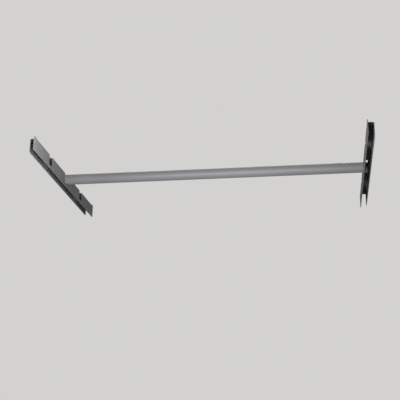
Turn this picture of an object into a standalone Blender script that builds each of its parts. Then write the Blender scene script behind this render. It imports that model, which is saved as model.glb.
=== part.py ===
"""Drop-in closet rod: a steel tube that lies in two folded wall brackets. Metres, +X right, +Y to the wall
behind, +Z up. The origin is under the middle of the rod, level with the brackets' lower edges."""

import bmesh
import bpy
from math import cos, pi, sin
from mathutils import Vector

# Rod
ROD_DIAMETER = 0.025
ROD_WALL = 0.0015
ROD_DROP = 0.0012

# Brackets: the strip, its folds and its ends
WALL_SPAN = 0.750
SHEET = 0.0015
BEND_RADIUS = 0.001
CHANNEL_WIDTH = 0.0155
BODY_LENGTH = 0.440
TAB_LENGTH = 0.016
FLANGE_CORNER = 0.003

# Slots in the inner flange: the ledge is the steel left under a slot, the strip is the web left beside it
ROD_LEDGE = 0.006
ROD_WEB_STRIP = 0.005
SPARE_SLOT_PITCH = 0.1205
SPARE_SLOT_WIDTH = 0.0228
SPARE_LEDGE = 0.0072
SPARE_WEB_CUT = 0.0058

# Screw holes in the outer flange, one behind each spare slot
SCREW_HOLE = 0.0055

# End plugs
PLUG_FACE = 0.0015
PLUG_DEPTH = 0.014
PLUG_WALL = 0.002
PLUG_RIB_HEIGHT = 0.0006
PLUG_RIB_WIDTH = 0.0012
PLUG_RIBS = 3

# Fits and facets
CLEARANCE = 0.0003
OVERCUT = 0.002
ROUND_STEPS = 64
BEND_STEPS = 5
CORNER_STEPS = 6
WELD = 0.000001

ROD_RADIUS = ROD_DIAMETER / 2
ROD_SLOT_WIDTH = ROD_DIAMETER + 2 * CLEARANCE
CHANNEL_HEIGHT = ROD_DROP + ROD_DIAMETER + CLEARANCE + ROD_LEDGE
ROD_HEIGHT = CHANNEL_HEIGHT - ROD_DROP - ROD_RADIUS
OUTER_BEND = BEND_RADIUS + SHEET
FLANGE_LENGTH = BODY_LENGTH + 2 * TAB_LENGTH
FOLD_HEIGHT = CHANNEL_HEIGHT - OUTER_BEND
INNER_FACE = WALL_SPAN / 2 - CHANNEL_WIDTH
ROD_WEB_CUT = CHANNEL_WIDTH - ROD_WEB_STRIP
ROD_HALF_LENGTH = INNER_FACE + ROD_WEB_CUT - CLEARANCE
TUBE_HALF_LENGTH = ROD_HALF_LENGTH - PLUG_FACE - CLEARANCE
BORE_RADIUS = ROD_RADIUS - ROD_WALL
SCREW_HEIGHT = SPARE_LEDGE + SPARE_SLOT_WIDTH / 2
SIDES = {"left": -1, "right": 1}


def clear_scene():
    for obj in list(bpy.data.objects):
        bpy.data.objects.remove(obj)


def material(name, colour, metallic, roughness):
    made = bpy.data.materials.new(name)
    made.use_nodes = True
    shader = made.node_tree.nodes["Principled BSDF"]
    shader.inputs["Base Color"].default_value = (*colour, 1)
    shader.inputs["Metallic"].default_value = metallic
    shader.inputs["Roughness"].default_value = roughness
    return made


def mesh_object(name, mesh_data, paint=None):
    """An object of this bmesh, with its faces turned out."""
    bmesh.ops.recalc_face_normals(mesh_data, faces=mesh_data.faces)
    mesh = bpy.data.meshes.new(name)
    mesh_data.to_mesh(mesh)
    mesh_data.free()
    obj = bpy.data.objects.new(name, mesh)
    bpy.context.scene.collection.objects.link(obj)
    if paint:
        mesh.materials.append(paint)
    return obj


def arc(centre, radius, start, end, steps):
    """Points on a circle from one angle to another, both ends included."""
    angles = [start + (end - start) * step / steps for step in range(steps + 1)]
    return [(centre[0] + radius * cos(a), centre[1] + radius * sin(a)) for a in angles]


def prism(name, outline, place, start, end, paint=None):
    """An outline swept in a straight line; place(u, v, along) gives a point of the row."""
    shape = bmesh.new()
    rings = [[shape.verts.new(place(u, v, along)) for u, v in outline] for along in (start, end)]
    for ring in rings:
        shape.faces.new(ring)
    for near in range(len(outline)):
        far = (near + 1) % len(outline)
        shape.faces.new((rings[0][near], rings[0][far], rings[1][far], rings[1][near]))
    return mesh_object(name, shape, paint)


def turned(name, outline, paint):
    """A closed outline of (along, radius) turned once about X."""
    shape = bmesh.new()
    rings = []
    for step in range(ROUND_STEPS):
        turn = 2 * pi * step / ROUND_STEPS
        rings.append([shape.verts.new((x, r * cos(turn), r * sin(turn))) for x, r in outline])
    for step, ring in enumerate(rings):
        following = rings[(step + 1) % ROUND_STEPS]
        for near in range(len(outline)):
            far = (near + 1) % len(outline)
            shape.faces.new((ring[near], ring[far], following[far], following[near]))
    bmesh.ops.remove_doubles(shape, verts=shape.verts, dist=WELD)
    return mesh_object(name, shape, paint)


def cut(body, cutter):
    cutter.hide_render = True
    cutter.display_type = "WIRE"
    boolean = body.modifiers.new(cutter.name, "BOOLEAN")
    boolean.operation = "DIFFERENCE"
    boolean.solver = "EXACT"
    boolean.object = cutter


def channel_outline():
    """The strip's section: across from the inner face, and up from the lower edges. The inner flange is drawn
    with a square top, which its tabs keep."""
    turn = pi / 2
    near = (OUTER_BEND, FOLD_HEIGHT)
    far = (CHANNEL_WIDTH - OUTER_BEND, FOLD_HEIGHT)
    outside = arc(far, OUTER_BEND, turn, 0, BEND_STEPS)
    inside = arc(far, BEND_RADIUS, 0, turn, BEND_STEPS) + arc(near, BEND_RADIUS, turn, 2 * turn, BEND_STEPS)
    return [(0, 0), (0, CHANNEL_HEIGHT), *outside, (CHANNEL_WIDTH, 0), (CHANNEL_WIDTH - SHEET, 0),
            *inside, (SHEET, 0)]


def end_outline():
    """What is cut off beyond the body's end, so that only the inner flange runs on as a flat tab."""
    beyond = CHANNEL_WIDTH + OVERCUT
    above = CHANNEL_HEIGHT + OVERCUT
    return [(SHEET, -OVERCUT), (beyond, -OVERCUT), (beyond, above), (SHEET, above)]


def corner_outline(end, edge, outward, upward, radius, steps):
    """The sliver outside a rounded corner, whose square corner is at (end, edge)."""
    centre = Vector((end - outward * radius, edge - upward * radius))
    round_edge = arc((0, 0), radius, 0, pi / 2, steps)
    points = [(centre.x + outward * u, centre.y + upward * v) for u, v in round_edge]
    past_end = end + outward * OVERCUT
    past_edge = edge + upward * OVERCUT
    return [*points, (centre.x, past_edge), (past_end, past_edge), (past_end, centre.y)]


def slot_outline(middle, width, ledge):
    """A U open at the top: along the flange, and up."""
    above = CHANNEL_HEIGHT + OVERCUT
    round_end = arc((middle, ledge + width / 2), width / 2, pi, 2 * pi, ROUND_STEPS // 2)
    return [(middle - width / 2, above), *round_end, (middle + width / 2, above)]


def hole_outline(middle, height, diameter):
    return arc((middle, height), diameter / 2, 0, 2 * pi, ROUND_STEPS // 2)[:-1]


def bracket(side_name, paint):
    """One folded channel, from a bent strip that is cut to length, slotted and drilled."""
    side = SIDES[side_name]
    name = f"{side_name}_bracket"

    def section(across, up, along):
        return side * (INNER_FACE + across), along, up

    def flange(along, up, across):
        return side * (INNER_FACE + across), along, up

    body = prism(name, channel_outline(), section, -FLANGE_LENGTH / 2, FLANGE_LENGTH / 2, paint)
    fold = corner_outline(0, CHANNEL_HEIGHT, -1, 1, OUTER_BEND, BEND_STEPS)
    cut(body, prism(f"{name}_fold", fold, section, -BODY_LENGTH / 2, BODY_LENGTH / 2))
    for end_name, outward in (("front", -1), ("rear", 1)):
        stop = outward * BODY_LENGTH / 2
        tip = outward * FLANGE_LENGTH / 2
        cut(body, prism(f"{name}_{end_name}_step", end_outline(), section, stop, tip + outward * OVERCUT))
        for edge_name, edge, upward in (("top", CHANNEL_HEIGHT, 1), ("bottom", 0, -1)):
            sliver = corner_outline(tip, edge, outward, upward, FLANGE_CORNER, CORNER_STEPS)
            cut(body, prism(f"{name}_{end_name}_{edge_name}", sliver, flange, -OVERCUT, SHEET + OVERCUT))
        inside = CHANNEL_WIDTH - SHEET - OVERCUT
        sliver = corner_outline(stop, 0, outward, -1, FLANGE_CORNER, CORNER_STEPS)
        cut(body, prism(f"{name}_{end_name}_outer", sliver, flange, inside, CHANNEL_WIDTH + OVERCUT))
        middle = outward * SPARE_SLOT_PITCH
        spare = slot_outline(middle, SPARE_SLOT_WIDTH, SPARE_LEDGE)
        cut(body, prism(f"{name}_{end_name}_slot", spare, flange, -OVERCUT, SPARE_WEB_CUT))
        hole = hole_outline(middle, SCREW_HEIGHT, SCREW_HOLE)
        cut(body, prism(f"{name}_{end_name}_hole", hole, flange, inside, CHANNEL_WIDTH + OVERCUT))
    seat = slot_outline(0, ROD_SLOT_WIDTH, ROD_LEDGE)
    cut(body, prism(f"{name}_rod_slot", seat, flange, -OVERCUT, ROD_WEB_CUT))
    return body


def tube_outline():
    return [(-TUBE_HALF_LENGTH, BORE_RADIUS), (-TUBE_HALF_LENGTH, ROD_RADIUS),
            (TUBE_HALF_LENGTH, ROD_RADIUS), (TUBE_HALF_LENGTH, BORE_RADIUS)]


def plug_outline(side):
    """A cup with a flat face and a chamfered rim, ribbed where it grips the bore."""
    rib_radius = BORE_RADIUS - CLEARANCE
    body_radius = rib_radius - PLUG_RIB_HEIGHT
    cup_radius = body_radius - PLUG_WALL
    seat = ROD_HALF_LENGTH - PLUG_FACE
    points = [(ROD_HALF_LENGTH, 0), (ROD_HALF_LENGTH, ROD_RADIUS - PLUG_FACE / 2),
              (ROD_HALF_LENGTH - PLUG_FACE / 2, ROD_RADIUS), (seat, ROD_RADIUS), (seat, body_radius)]
    pitch = PLUG_DEPTH / (PLUG_RIBS + 1)
    for rib in range(PLUG_RIBS):
        start = seat - pitch * (rib + 1) + PLUG_RIB_WIDTH / 2
        points += [(start, body_radius), (start - PLUG_RIB_WIDTH / 4, rib_radius),
                   (start - PLUG_RIB_WIDTH * 3 / 4, rib_radius), (start - PLUG_RIB_WIDTH, body_radius)]
    tip = seat - PLUG_DEPTH
    points += [(tip, body_radius), (tip, cup_radius), (seat, cup_radius), (seat, 0)]
    return [(side * x, r) for x, r in points]


def rod(coat, plastic):
    """The tube and its plugs, carried by an empty on the rod's axis that lifts out of the slots."""
    lift = bpy.data.objects.new("rod_lift", None)
    lift.location = (0, 0, ROD_HEIGHT)
    bpy.context.scene.collection.objects.link(lift)
    turned("rod_tube", tube_outline(), coat).parent = lift
    for side_name, side in SIDES.items():
        turned(f"{side_name}_end_plug", plug_outline(side), plastic).parent = lift


clear_scene()
POWDER_COAT = material("graphite_powder_coat", (0.138, 0.138, 0.144), 0.0, 0.67)
ROD_COAT = material("grey_powder_coat", (0.217, 0.215, 0.223), 0.0, 0.55)
PLUG_PLASTIC = material("dark_grey_plastic", (0.053, 0.053, 0.056), 0.0, 0.54)
for bracket_side in SIDES:
    bracket(bracket_side, POWDER_COAT)
rod(ROD_COAT, PLUG_PLASTIC)
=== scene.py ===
from math import cos, pi, radians, sin

import bmesh
import bpy
from mathutils import Matrix, Vector
from mathutils.geometry import delaunay_2d_cdt


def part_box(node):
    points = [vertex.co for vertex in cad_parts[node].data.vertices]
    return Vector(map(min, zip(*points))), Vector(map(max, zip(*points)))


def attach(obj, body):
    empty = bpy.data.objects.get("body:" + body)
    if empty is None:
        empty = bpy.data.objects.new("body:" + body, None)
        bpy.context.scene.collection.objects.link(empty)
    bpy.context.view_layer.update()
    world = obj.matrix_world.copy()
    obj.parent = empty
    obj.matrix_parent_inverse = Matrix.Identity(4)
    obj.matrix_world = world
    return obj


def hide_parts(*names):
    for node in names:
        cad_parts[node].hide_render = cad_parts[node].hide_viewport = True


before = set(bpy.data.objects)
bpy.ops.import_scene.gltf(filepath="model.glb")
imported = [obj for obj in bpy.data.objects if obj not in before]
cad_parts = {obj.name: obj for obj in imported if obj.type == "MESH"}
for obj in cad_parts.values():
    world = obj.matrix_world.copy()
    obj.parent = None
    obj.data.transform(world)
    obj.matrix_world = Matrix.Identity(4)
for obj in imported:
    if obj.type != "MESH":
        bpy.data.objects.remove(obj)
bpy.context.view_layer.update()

# The brackets: each is one strip of 1.5 mm steel, cut flat with its slots, reliefs and holes, then
# folded twice into a channel with its web on top and screwed on by its outer flange. A matte powder
# coat covers both skins and rounds every cut edge.
MM = 0.001
BRACKET_LOW, BRACKET_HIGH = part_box("right_bracket")
INNER_FACE = BRACKET_LOW.x
CHANNEL_WIDTH = BRACKET_HIGH.x - BRACKET_LOW.x
CHANNEL_HEIGHT = BRACKET_HIGH.z - BRACKET_LOW.z
FLANGE_HALF = BRACKET_HIGH.y
BODY_HALF = 220 * MM
SHEET = 1.5 * MM
FOLD_RADIUS = 2.5 * MM
FOLD_ROWS = 8
FOLD_MARGIN = 0.4 * MM
FLANGE_CORNER = 3 * MM
RELIEF_WIDTH = 1 * MM
RELIEF_DEPTH = 0.8 * MM
COATED_EDGE = 0.35 * MM
COATED_EDGE_ROWS = 3
CORNER_POINTS = 8
SLOT_POINTS = 40
SPARE_PITCH = 120.5 * MM
# A slot's width, the steel left under it and how far it reaches into the web.
SPARE_SLOT = (22.8 * MM, 7.2 * MM, 5.8 * MM)
ROD_SLOT = (25.6 * MM, 6 * MM, 10.5 * MM)
SLOTS = ((-SPARE_PITCH, *SPARE_SLOT), (0, *ROD_SLOT), (SPARE_PITCH, *SPARE_SLOT))
SCREW_HOLE = 5.5 * MM
SCREW_HEIGHT = 18.6 * MM
QUARTER = pi / 2
FOLD_HEIGHT = CHANNEL_HEIGHT - FOLD_RADIUS
FOLD_RUN = FOLD_RADIUS * QUARTER
BLANK_WIDTH = 2 * (FOLD_HEIGHT + FOLD_RUN) + CHANNEL_WIDTH - 2 * FOLD_RADIUS
SAME_PLACE = 1e-9
WITHIN_EDGES = 1


def arc(centre, radius, start, end, points):
    """Points of a circle between two angles, both ends included."""
    angles = [start + (end - start) * point / points for point in range(points + 1)]
    return [(centre[0] + radius * cos(angle), centre[1] + radius * sin(angle)) for angle in angles]


def fold_rows(start):
    """Where a fold's rows cross the blank, with one row on the flat steel at each side."""
    rows = [start + FOLD_RUN * row / FOLD_ROWS for row in range(FOLD_ROWS + 1)]
    return [start - FOLD_MARGIN, *rows, start + FOLD_RUN + FOLD_MARGIN]


INNER_FOLD = fold_rows(FOLD_HEIGHT)
OUTER_FOLD = fold_rows(BLANK_WIDTH - FOLD_HEIGHT - FOLD_RUN)


def blank_loops(inset):
    """The blank's edge, slots and holes as loops of (along, run), moved inset into the steel."""
    tip = FLANGE_HALF - FLANGE_CORNER
    end = BODY_HALF - inset
    foot = FOLD_HEIGHT - RELIEF_DEPTH - inset
    relief = BODY_HALF + RELIEF_WIDTH + inset
    corner = FLANGE_CORNER - inset
    outer_corner = (BODY_HALF - FLANGE_CORNER, BLANK_WIDTH - FLANGE_CORNER)
    half = arc((tip, FLANGE_CORNER), corner, -QUARTER, 0, CORNER_POINTS)
    half += arc((tip, CHANNEL_HEIGHT - FLANGE_CORNER), corner, 0, QUARTER, CORNER_POINTS)
    half += [(relief, CHANNEL_HEIGHT - inset), (relief, foot), (end, foot)]
    half += [(end, row) for row in INNER_FOLD + OUTER_FOLD]
    half += arc(outer_corner, corner, 0, QUARTER, CORNER_POINTS)
    loops = [half + [(-along, run) for along, run in reversed(half)]]
    for middle, width, ledge, web_cut in SLOTS:
        reach = width / 2 + inset
        stop = FOLD_HEIGHT + FOLD_RUN + web_cut - FOLD_RADIUS + inset
        sides = [*INNER_FOLD, stop]
        slot = [(middle + reach, row) for row in reversed(sides)]
        slot += arc((middle, ledge + width / 2), reach, 0, -pi, SLOT_POINTS)
        loops.append(slot + [(middle - reach, row) for row in sides])
    for middle in (-SPARE_PITCH, SPARE_PITCH):
        hole = (middle, BLANK_WIDTH - SCREW_HEIGHT)
        loops.append(arc(hole, SCREW_HOLE / 2 + inset, 0, -2 * pi, SLOT_POINTS)[:-1])
    return loops


def in_steel(point, loops):
    """True where a point of the blank is inside its edge and outside its slots and holes."""
    crossings = 0
    for loop in loops:
        for (along, run), (next_along, next_run) in zip(loop, loop[1:] + loop[:1]):
            if (run > point.y) != (next_run > point.y):
                share = (point.y - run) / (next_run - run)
                crossings += point.x < along + share * (next_along - along)
    return crossings % 2 == 1


def skin_triangles(loops):
    """One skin as triangles between its loops' points, split along every row of both folds."""
    points = [point for loop in loops for point in loop]
    edges = []
    first = 0
    for loop in loops:
        edges += [(first + i, first + (i + 1) % len(loop)) for i in range(len(loop))]
        first += len(loop)
    for row in INNER_FOLD + OUTER_FOLD:
        crossing = sorted((along, i) for i, (along, run) in enumerate(points)
                          if abs(run - row) < SAME_PLACE)
        edges += [(a[1], b[1]) for a, b in zip(crossing[::2], crossing[1::2])]
    in_mm = [Vector(point) / MM for point in points]
    split = delaunay_2d_cdt(in_mm, edges, [], WITHIN_EDGES, SAME_PLACE / MM)
    triangles, sources = split[2:4]
    flat = [Vector(point) for point in points]
    picked = []
    for triangle in triangles:
        corners = [sources[corner][0] for corner in triangle]
        if in_steel(sum((flat[corner] for corner in corners), Vector((0, 0))) / 3, loops):
            picked.append(corners)
    return picked


def folded(along, run, depth):
    """Where a blank's point, at a depth under its outer skin, ends across and up the channel."""
    if abs(along) > BODY_HALF + RELIEF_WIDTH / 2:
        return depth, run
    near_run = min(run, BLANK_WIDTH - run)
    turn = min(max((near_run - FOLD_HEIGHT) / FOLD_RADIUS, 0), QUARTER)
    radius = FOLD_RADIUS - depth
    across = FOLD_RADIUS - radius * cos(turn) + max(near_run - FOLD_HEIGHT - FOLD_RUN, 0)
    up = min(near_run, FOLD_HEIGHT) + radius * sin(turn)
    return (across if near_run == run else CHANNEL_WIDTH - across), up


def new_piece(name, shape):
    """A mesh object at the origin from a closed bmesh, smooth but for edges already set sharp."""
    bmesh.ops.recalc_face_normals(shape, faces=shape.faces)
    for face in shape.faces:
        face.smooth = True
    mesh = bpy.data.meshes.new(name)
    shape.to_mesh(mesh)
    shape.free()
    piece = bpy.data.objects.new(name, mesh)
    bpy.context.scene.collection.objects.link(piece)
    return piece


def channel(name, side):
    """Both skins of the blank and its cut edge with rounded rims, folded and set at one side."""
    shape = bmesh.new()
    cut_edge = shape.verts.layers.float.new("cut_edge")
    turns = [QUARTER * row / (COATED_EDGE_ROWS - 1) for row in range(COATED_EDGE_ROWS)]
    rim = [(COATED_EDGE * (1 - sin(turn)), COATED_EDGE * (1 - cos(turn))) for turn in turns]
    rims = rim + [(inset, SHEET - depth) for inset, depth in reversed(rim)]
    rings = []
    for inset, depth in rims:
        ring = []
        for along, run in [point for loop in blank_loops(inset) for point in loop]:
            across, up = folded(along, run, depth)
            ring.append(shape.verts.new((side * (INNER_FACE + across), along, up)))
            ring[-1][cut_edge] = 1 - inset / COATED_EDGE
        rings.append(ring)
    loops = blank_loops(COATED_EDGE)
    for corners in skin_triangles(loops):
        shape.faces.new([rings[0][corner] for corner in corners])
        shape.faces.new([rings[-1][corner] for corner in reversed(corners)])
    first = 0
    for loop in loops:
        for i in range(len(loop)):
            here, following = first + i, first + (i + 1) % len(loop)
            for near, far in zip(rings, rings[1:]):
                shape.faces.new((near[following], near[here], far[here], far[following]))
            for skin in (rings[0], rings[-1]):
                shape.edges.get((skin[here], skin[following])).smooth = False
        first += len(loop)
    return new_piece(name, shape)


def colour(code):
    """A linear colour from an sRGB hex code."""
    channels = [int(code[i : i + 2], 16) / 255 for i in (1, 3, 5)]
    return [c / 12.92 if c <= 0.04045 else ((c + 0.055) / 1.055) ** 2.4 for c in channels] + [1]


def add_node(tree, kind, settings, links=None):
    """Adds a node with its properties and input values, and links its inputs, by name or number."""
    made = tree.nodes.new(kind)
    for key, value in settings.items():
        if isinstance(key, int) or key in made.inputs:
            made.inputs[key].default_value = value
        else:
            setattr(made, key, value)
    for key, socket in (links or {}).items():
        tree.links.new(socket, made.inputs[key])
    return made


def new_material(name):
    """An empty node material and its output node."""
    made = bpy.data.materials.new(name)
    made.use_nodes = True
    made.node_tree.nodes.clear()
    return made, made.node_tree, add_node(made.node_tree, "ShaderNodeOutputMaterial", {})


# Dead matte graphite powder coat, baked on: an even mid grey with no gloss and a faint drift of
# tone, thin and pale on cut edges. Its orange peel is really about 1 mm across, and is drawn at
# 3 mm so that it shows.
BRACKET_DRIFT = 40 * MM
COAT_PEEL = 3 * MM
COAT_PEEL_DEPTH = 0.1 * MM
bracket_coat, tree, output = new_material("graphite_powder_coat")
place = add_node(tree, "ShaderNodeTexCoord", {})
drift = add_node(tree, "ShaderNodeTexNoise", {"Scale": 1 / BRACKET_DRIFT, "Detail": 3.0},
                 {"Vector": place.outputs["Object"]})
peel = add_node(tree, "ShaderNodeTexNoise", {"Scale": 1 / COAT_PEEL, "Detail": 1.0},
                {"Vector": place.outputs["Object"]})
tone = add_node(tree, "ShaderNodeMix",
                {"data_type": "RGBA", 6: colour("#626264"), 7: colour("#6E6E70")},
                {0: drift.outputs[0]})
rim_mark = add_node(tree, "ShaderNodeAttribute", {"attribute_name": "cut_edge"})
thin = add_node(tree, "ShaderNodeMath", {"operation": "MULTIPLY"},
                {0: rim_mark.outputs["Fac"], 1: peel.outputs[0]})
rimmed = add_node(tree, "ShaderNodeMix", {"data_type": "RGBA", 7: colour("#828284")},
                  {0: thin.outputs[0], 6: tone.outputs[2]})
sheen = add_node(tree, "ShaderNodeMapRange", {"To Min": 0.62, "To Max": 0.72},
                 {"Value": drift.outputs[0]})
skin = add_node(tree, "ShaderNodeBump", {"Strength": 0.05, "Distance": COAT_PEEL_DEPTH},
                {"Height": peel.outputs[0]})
coat = add_node(tree, "ShaderNodeBsdfPrincipled",
                {"Metallic": 0.0, "IOR": 1.5, "Specular IOR Level": 0.0},
                {"Base Color": rimmed.outputs[2], "Roughness": sheen.outputs[0],
                 "Normal": skin.outputs[0]})
tree.links.new(coat.outputs[0], output.inputs[0])

for side_name, side in (("left", -1), ("right", 1)):
    piece = channel(f"{side_name}_folded_channel", side)
    piece.data.materials.append(bracket_coat)
    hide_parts(f"{side_name}_bracket")
    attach(piece, "brackets")

# The fixing screws: M5 button heads with a 3 mm hexagon socket, cold-formed steel in black zinc.
# Two hold each bracket by its outer flange, with their heads in the channel, behind the spare slots
# that let the key through.
SCREW_STEPS = 48
SCREWS_PER_SIDE = 2
SCREW_SEED = 5
SHANK_RADIUS = 2.45 * MM
SHANK_TIP = 1.35 * MM
SHANK_CHAMFER = 0.4 * MM
FOOT_RADIUS = 4.75 * MM
FOOT_HEIGHT = 0.1 * MM
FOOT_INSET = 0.2 * MM
DOME_START = 0.3 * MM
DOME_CENTRE = 2.6 * MM
DOME_RADIUS = 2.3 * MM
HEAD_HEIGHT = 2.75 * MM
SOCKET_SIDES = 6
SOCKET_FLAT = 1.5 * MM
SOCKET_RING = 0.5 * MM
SOCKET_MOUTH = 0.3 * MM
SOCKET_CHAMFER = 0.25 * MM
SOCKET_FLOOR = 1 * MM
SOCKET_POINT = 0.6 * MM
SHARP_EDGE = radians(35)


def lathe(name, profile, steps, closed=False):
    """Turns a profile of (along, radius, sides) about X: 0 sides is round, 0 radius is a point."""
    shape = bmesh.new()
    rings = []
    for along, radius, sides in profile:
        ring = []
        for step in range(steps if radius else 1):
            angle = 2 * pi * step / steps
            facet = 2 * pi / sides if sides else 0
            reach = radius / cos(angle % facet - facet / 2) if sides else radius
            ring.append(shape.verts.new((along, reach * cos(angle), reach * sin(angle))))
        rings.append(ring)
    for near, far in zip(rings, rings[1:] + rings[:1] if closed else rings[1:]):
        for step in range(steps):
            following = (step + 1) % steps
            corners = (near[step % len(near)], near[following % len(near)],
                       far[following % len(far)], far[step % len(far)])
            shape.faces.new(list(dict.fromkeys(corners)))
    for edge in shape.edges:
        edge.smooth = edge.calc_face_angle(0) < SHARP_EDGE
    return new_piece(name, shape)


# The dome is an arc that meets the flat ring round the socket. The shank ends inside the hole.
dome = arc((DOME_START, DOME_CENTRE), DOME_RADIUS, QUARTER, 0, CORNER_POINTS)
screw = lathe("button_screw", [
    (-SHANK_TIP, 0, 0),
    (-SHANK_TIP, SHANK_RADIUS - SHANK_CHAMFER, 0),
    (-SHANK_TIP + SHANK_CHAMFER, SHANK_RADIUS, 0),
    (0, SHANK_RADIUS, 0),
    (0, FOOT_RADIUS - FOOT_INSET, 0),
    (FOOT_HEIGHT, FOOT_RADIUS, 0),
    *[(along, radius, 0) for along, radius in dome],
    (HEAD_HEIGHT, SOCKET_FLAT + SOCKET_RING, 0),
    (HEAD_HEIGHT, SOCKET_FLAT + SOCKET_MOUTH, 0),
    (HEAD_HEIGHT - SOCKET_CHAMFER, SOCKET_FLAT, SOCKET_SIDES),
    (SOCKET_FLOOR, SOCKET_FLAT, SOCKET_SIDES),
    (SOCKET_POINT, 0, 0),
], SCREW_STEPS)

# Black zinc over cold-formed steel: a dark, slightly brown metal with a low shine. Its bloom is
# really a few tenths of a millimetre across and is drawn at 1 mm so that it shows.
PLATING_BLOOM = 1 * MM
screw_plating, tree, output = new_material("black_zinc_plated_steel")
place = add_node(tree, "ShaderNodeTexCoord", {})
bloom = add_node(tree, "ShaderNodeTexNoise", {"Scale": 1 / PLATING_BLOOM, "Detail": 2.0},
                 {"Vector": place.outputs["Object"]})
tone = add_node(tree, "ShaderNodeMix",
                {"data_type": "RGBA", 6: colour("#3A3937"), 7: colour("#57544F")},
                {0: bloom.outputs[0]})
shine = add_node(tree, "ShaderNodeMapRange", {"To Min": 0.28, "To Max": 0.46},
                 {"Value": bloom.outputs[0]})
plating = add_node(tree, "ShaderNodeBsdfPrincipled", {"Metallic": 1.0},
                   {"Base Color": tone.outputs[2], "Roughness": shine.outputs[0]})
tree.links.new(plating.outputs[0], output.inputs[0])

# One tree sets the four screws: a line of two at each side, with each head turned inwards and its
# socket left at an angle of its own.
screw_tree = bpy.data.node_groups.new("set_wall_screws", "GeometryNodeTree")
screw_inputs = {
    "Screw": ("NodeSocketObject", screw),
    "Seat From Middle": ("NodeSocketFloat", INNER_FACE + CHANNEL_WIDTH - SHEET),
    "Pitch": ("NodeSocketFloat", 2 * SPARE_PITCH),
    "Height": ("NodeSocketFloat", SCREW_HEIGHT),
    "Plating": ("NodeSocketMaterial", screw_plating),
}
for socket_name, (kind, _) in screw_inputs.items():
    screw_tree.interface.new_socket(socket_name, in_out="INPUT", socket_type=kind)
screw_tree.interface.new_socket("Geometry", in_out="OUTPUT", socket_type="NodeSocketGeometry")
given = add_node(screw_tree, "NodeGroupInput", {}).outputs
screw_shape = add_node(screw_tree, "GeometryNodeObjectInfo", {}, {"Object": given["Screw"]})
back = add_node(screw_tree, "ShaderNodeMath", {"operation": "MULTIPLY", 1: -0.5},
                {0: given["Pitch"]})
step = add_node(screw_tree, "ShaderNodeCombineXYZ", {}, {"Y": given["Pitch"]})
both_sides = add_node(screw_tree, "GeometryNodeJoinGeometry", {})
for side, turned_round in ((-1, 0), (1, pi)):
    seat = add_node(screw_tree, "ShaderNodeMath", {"operation": "MULTIPLY", 1: side},
                    {0: given["Seat From Middle"]})
    start = add_node(screw_tree, "ShaderNodeCombineXYZ", {},
                     {"X": seat.outputs[0], "Y": back.outputs[0], "Z": given["Height"]})
    line = add_node(screw_tree, "GeometryNodeMeshLine",
                    {"mode": "OFFSET", "Count": SCREWS_PER_SIDE},
                    {"Start Location": start.outputs[0], "Offset": step.outputs[0]})
    angle = add_node(screw_tree, "FunctionNodeRandomValue",
                     {"data_type": "FLOAT", 2: 0.0, 3: 2 * pi / SOCKET_SIDES,
                      "Seed": SCREW_SEED + side})
    turn = add_node(screw_tree, "ShaderNodeCombineXYZ", {"Z": turned_round},
                    {"X": angle.outputs[1]})
    placed = add_node(screw_tree, "GeometryNodeInstanceOnPoints", {},
                      {"Points": line.outputs[0], "Instance": screw_shape.outputs["Geometry"],
                       "Rotation": turn.outputs[0]})
    screw_tree.links.new(placed.outputs[0], both_sides.inputs[0])
solid = add_node(screw_tree, "GeometryNodeRealizeInstances", {}, {0: both_sides.outputs[0]})
plated = add_node(screw_tree, "GeometryNodeSetMaterial", {},
                  {"Geometry": solid.outputs[0], "Material": given["Plating"]})
add_node(screw_tree, "NodeGroupOutput", {}, {0: plated.outputs[0]})

carrier = bpy.data.objects.new("screw_carrier", bpy.data.meshes.new("screw_carrier"))
bpy.context.scene.collection.objects.link(carrier)
setting = carrier.modifiers.new("set_wall_screws", "NODES")
setting.node_group = screw_tree
for item in screw_tree.interface.items_tree:
    if item.in_out == "INPUT":
        setting[item.identifier] = screw_inputs[item.name][1]
bpy.context.view_layer.update()
graph = bpy.context.evaluated_depsgraph_get()
screws_mesh = bpy.data.meshes.new_from_object(carrier.evaluated_get(graph))
bpy.data.objects.remove(carrier)
bpy.data.objects.remove(screw)
wall_screws = bpy.data.objects.new("wall_screws", screws_mesh)
bpy.context.scene.collection.objects.link(wall_screws)
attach(wall_screws, "brackets")

# The rod: a 25 mm welded steel tube with 1.5 mm walls, sawn to length, deburred and powder-coated.
# It drops from above into the middle slots of both brackets and lies on their ledges.
ROD_LOW, ROD_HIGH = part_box("rod_tube")
ROD_STEPS = 128
ROD_HALF = ROD_HIGH.x
ROD_RADIUS = (ROD_HIGH.z - ROD_LOW.z) / 2
ROD_HEIGHT = (ROD_HIGH.z + ROD_LOW.z) / 2
ROD_WALL = 1.5 * MM
ROD_BORE = ROD_RADIUS - ROD_WALL
ROD_EDGE = 0.4 * MM
ROD_MARGIN = 0.6 * MM

sawn_edge = arc((ROD_HALF - ROD_EDGE, ROD_RADIUS - ROD_EDGE), ROD_EDGE, 0, QUARTER, CORNER_POINTS)
half_tube = [(ROD_HALF - ROD_EDGE / 2, ROD_BORE, 0), (ROD_HALF, ROD_BORE + ROD_EDGE / 2, 0)]
half_tube += [(along, radius, 0) for along, radius in sawn_edge]
half_tube += [(ROD_HALF - ROD_EDGE - ROD_MARGIN, ROD_RADIUS, 0)]
other_half = [(-along, radius, sides) for along, radius, sides in reversed(half_tube)]
tube = lathe("steel_tube", half_tube + other_half, ROD_STEPS, closed=True)
tube.data.transform(Matrix.Translation((0, 0, ROD_HEIGHT)))

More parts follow.
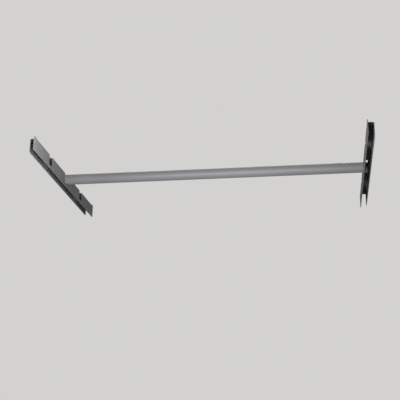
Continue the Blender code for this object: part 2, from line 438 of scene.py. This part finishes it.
# Satin powder coat in a lighter grey, smoother on the drawn tube than on the brackets, with a drift
# that runs lengthwise and the same orange peel, drawn as coarse.
ROD_DRIFT = 25 * MM
ROD_DRIFT_STRETCH = (0.3, 1.0, 1.0)
rod_coat, tree, output = new_material("grey_powder_coat")
place = add_node(tree, "ShaderNodeTexCoord", {})
along_rod = add_node(tree, "ShaderNodeMapping", {"Scale": ROD_DRIFT_STRETCH},
                     {"Vector": place.outputs["Object"]})
drift = add_node(tree, "ShaderNodeTexNoise", {"Scale": 1 / ROD_DRIFT, "Detail": 3.0},
                 {"Vector": along_rod.outputs[0]})
peel = add_node(tree, "ShaderNodeTexNoise", {"Scale": 1 / COAT_PEEL, "Detail": 1.0},
                {"Vector": place.outputs["Object"]})
tone = add_node(tree, "ShaderNodeMix",
                {"data_type": "RGBA", 6: colour("#757477"), 7: colour("#818083")},
                {0: drift.outputs[0]})
sheen = add_node(tree, "ShaderNodeMapRange", {"To Min": 0.47, "To Max": 0.57},
                 {"Value": drift.outputs[0]})
skin = add_node(tree, "ShaderNodeBump", {"Strength": 0.12, "Distance": COAT_PEEL_DEPTH},
                {"Height": peel.outputs[0]})
coat = add_node(tree, "ShaderNodeBsdfPrincipled", {"Metallic": 0.0, "IOR": 1.5},
                {"Base Color": tone.outputs[2], "Roughness": sheen.outputs[0],
                 "Normal": skin.outputs[0]})
tree.links.new(coat.outputs[0], output.inputs[0])
tube.data.materials.append(rod_coat)
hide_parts("rod_tube")
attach(tube, "rod")

# The end plugs: moulded caps pushed into the tube, with a rim as wide as the tube, a dished face
# with the gate's small pip, and three ribs that grip the bore.
PLUG_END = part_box("right_end_plug")[1].x
PLUG_FACE = 1.5 * MM
PLUG_DEPTH = 14 * MM
PLUG_WALL = 2 * MM
PLUG_CLEARANCE = 0.3 * MM
PLUG_RIBS = 3
PLUG_RIB_WIDTH = 1.2 * MM
PLUG_RIB_HEIGHT = 0.6 * MM
PLUG_RIB_RADIUS = ROD_BORE - PLUG_CLEARANCE
PLUG_RADIUS = PLUG_RIB_RADIUS - PLUG_RIB_HEIGHT
PLUG_RIM = 3 * MM
PLUG_DISH = 0.5 * MM
PLUG_DISH_SLOPE = 1 * MM
PLUG_PIP = 0.9 * MM

plug_seat = PLUG_END - PLUG_FACE
plug_tip = plug_seat - PLUG_DEPTH
dish_radius = ROD_RADIUS - PLUG_RIM
rim_round = PLUG_FACE / 2
rim_edge = arc((PLUG_END - rim_round, ROD_RADIUS - rim_round), rim_round, 0, QUARTER, CORNER_POINTS)
plug_profile = [
    (PLUG_END - PLUG_DISH / 2, 0, 0),
    (PLUG_END - PLUG_DISH / 2, PLUG_PIP, 0),
    (PLUG_END - PLUG_DISH, PLUG_PIP + PLUG_DISH / 2, 0),
    (PLUG_END - PLUG_DISH, dish_radius - PLUG_DISH_SLOPE, 0),
    (PLUG_END, dish_radius, 0),
    *[(along, radius, 0) for along, radius in rim_edge],
    (plug_seat, ROD_RADIUS, 0),
    (plug_seat, PLUG_RADIUS, 0),
]
for rib in range(PLUG_RIBS):
    rib_start = plug_seat - PLUG_DEPTH * (rib + 1) / (PLUG_RIBS + 1) + PLUG_RIB_WIDTH / 2
    plug_profile += [
        (rib_start, PLUG_RADIUS, 0),
        (rib_start - PLUG_RIB_WIDTH / 4, PLUG_RIB_RADIUS, 0),
        (rib_start - PLUG_RIB_WIDTH * 3 / 4, PLUG_RIB_RADIUS, 0),
        (rib_start - PLUG_RIB_WIDTH, PLUG_RADIUS, 0),
    ]
plug_profile += [
    (plug_tip, PLUG_RADIUS - PLUG_WALL / 4, 0),
    (plug_tip, PLUG_RADIUS - PLUG_WALL, 0),
    (plug_seat, PLUG_RADIUS - PLUG_WALL, 0),
    (plug_seat, 0, 0),
]

# Moulded polyethylene, dark grey: a dull, slightly waxy skin with a fine spark-eroded grain, which
# is really about 0.2 mm across and is drawn at 0.8 mm so that it shows.
PLUG_GRAIN = 0.8 * MM
PLUG_GRAIN_DEPTH = 0.05 * MM
plug_plastic, tree, output = new_material("moulded_polyethylene")
place = add_node(tree, "ShaderNodeTexCoord", {})
grain = add_node(tree, "ShaderNodeTexNoise", {"Scale": 1 / PLUG_GRAIN, "Detail": 2.0},
                 {"Vector": place.outputs["Object"]})
tone = add_node(tree, "ShaderNodeMix",
                {"data_type": "RGBA", 6: colour("#3B3B3D"), 7: colour("#474749")},
                {0: grain.outputs[0]})
wax = add_node(tree, "ShaderNodeMapRange", {"To Min": 0.46, "To Max": 0.62},
               {"Value": grain.outputs[0]})
skin = add_node(tree, "ShaderNodeBump", {"Strength": 0.2, "Distance": PLUG_GRAIN_DEPTH},
                {"Height": grain.outputs[0]})
plastic = add_node(tree, "ShaderNodeBsdfPrincipled", {"Metallic": 0.0, "IOR": 1.51},
                   {"Base Color": tone.outputs[2], "Roughness": wax.outputs[0],
                    "Normal": skin.outputs[0]})
tree.links.new(plastic.outputs[0], output.inputs[0])

for side_name, side in (("left", -1), ("right", 1)):
    turned = [(side * along, radius, sides) for along, radius, sides in plug_profile]
    plug = lathe(f"{side_name}_ribbed_plug", turned, ROD_STEPS)
    plug.data.transform(Matrix.Translation((0, 0, ROD_HEIGHT)))
    plug.data.materials.append(plug_plastic)
    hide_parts(f"{side_name}_end_plug")
    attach(plug, "rod")

# The studio: a pale floor well under the hung rod, which fades into an even pale surround, and soft
# boxes in front, at both sides, above and behind.
FLOOR_LEVEL = -1.3
FLOOR_RADIUS = 14
FLOOR_STEPS = 96
FLOOR_FADE_START = 1.5
FLOOR_FADE_END = 6.0
FLOOR_NEAR_SHARE = 0.6
SURROUND = colour("#D3D2D0")
SURROUND_LIGHT = 0.06


def seen_directly(tree):
    """A socket that is 1 for what is seen, also in a gloss or through glass, and 0 for bounces."""
    ray = add_node(tree, "ShaderNodeLightPath", {})
    eye_or_gloss = add_node(tree, "ShaderNodeMath", {"operation": "ADD", "use_clamp": True},
                            {0: ray.outputs["Is Camera Ray"], 1: ray.outputs["Is Glossy Ray"]})
    shows = add_node(tree, "ShaderNodeMath", {"operation": "ADD", "use_clamp": True},
                     {0: eye_or_gloss.outputs[0], 1: ray.outputs["Is Transmission Ray"]})
    return shows.outputs[0]


floor_shape = bmesh.new()
bmesh.ops.create_circle(floor_shape, cap_ends=True, segments=FLOOR_STEPS, radius=FLOOR_RADIUS)
floor = new_piece("studio_floor", floor_shape)
floor.location.z = FLOOR_LEVEL
floor_paint, tree, output = new_material("pale_studio_floor")
place = add_node(tree, "ShaderNodeTexCoord", {})
far_out = add_node(tree, "ShaderNodeVectorMath", {"operation": "LENGTH"},
                   {0: place.outputs["Object"]})
fade = add_node(tree, "ShaderNodeMapRange",
                {"interpolation_type": "SMOOTHSTEP", "From Min": FLOOR_FADE_START,
                 "From Max": FLOOR_FADE_END, "To Min": FLOOR_NEAR_SHARE},
                {"Value": far_out.outputs["Value"]})
shown = add_node(tree, "ShaderNodeMath", {"operation": "MULTIPLY"},
                 {0: fade.outputs[0], 1: seen_directly(tree)})
painted = add_node(tree, "ShaderNodeBsdfDiffuse", {"Color": colour("#DCDBD8")})
distance = add_node(tree, "ShaderNodeEmission", {"Color": SURROUND, "Strength": 1.0})
mixed = add_node(tree, "ShaderNodeMixShader", {},
                 {0: shown.outputs[0], 1: painted.outputs[0], 2: distance.outputs[0]})
tree.links.new(mixed.outputs[0], output.inputs[0])
floor.data.materials.append(floor_paint)

world = bpy.data.worlds.new("pale_surround")
bpy.context.scene.world = world
world.use_nodes = True
tree = world.node_tree
tree.nodes.clear()
seen = add_node(tree, "ShaderNodeBackground", {"Color": SURROUND, "Strength": 1.0})
light = add_node(tree, "ShaderNodeBackground",
                 {"Color": colour("#FFFFFF"), "Strength": SURROUND_LIGHT})
surround = add_node(tree, "ShaderNodeMixShader", {},
                    {0: seen_directly(tree), 1: light.outputs[0], 2: seen.outputs[0]})
add_node(tree, "ShaderNodeOutputWorld", {}, {0: surround.outputs[0]})


def soft_box(name, spot, aim, width, height, watts):
    """An area lamp at a spot, turned to face another, which the camera does not see."""
    lamp = bpy.data.lights.new(name, "AREA")
    lamp.shape = "RECTANGLE"
    lamp.size = width
    lamp.size_y = height
    lamp.energy = watts
    box = bpy.data.objects.new(name, lamp)
    box.location = spot
    box.rotation_euler = (Vector(aim) - Vector(spot)).to_track_quat("-Z", "Y").to_euler()
    box.visible_camera = False
    bpy.context.scene.collection.objects.link(box)


soft_box("front_box", (0, -0.6, -0.27), (0, 0, 0.015), 0.5, 0.25, 5.4)
soft_box("flange_box", (-0.1, -0.42, -0.03), (-0.36, -0.52, -0.02), 0.2, 0.2, 2.6)
soft_box("left_side_box", (-0.85, 0, 0.1), (-0.37, 0, 0.015), 0.8, 0.3, 3.3)
soft_box("right_side_box", (0.85, 0, 0.1), (0.37, 0, 0.015), 0.8, 0.3, 3.3)
soft_box("top_box", (0, 0.9, 1.5), (0, 0, 0), 1.4, 1.4, 20)
soft_box("rear_box", (-0.6, 2.0, 0.9), (0, 0, 0), 1.0, 1.0, 12)

# The camera stands in front of the rod, lower than it and right of its middle, and looks up at it
# from the photograph's angle, with the photograph's slight tilt.
CAMERA_SPOT = (0.2583, -1.8080, -0.7010)
CAMERA_DEGREES = (109.658, -0.830, 8.632)
camera = bpy.data.cameras.new("camera")
camera.sensor_width = 36
camera.lens = 73.5
camera_stand = bpy.data.objects.new("camera", camera)
camera_stand.location = CAMERA_SPOT
camera_stand.rotation_euler = [radians(angle) for angle in CAMERA_DEGREES]
bpy.context.scene.collection.objects.link(camera_stand)
bpy.context.scene.camera = camera_stand
bpy.context.scene.view_settings.view_transform = "Standard"
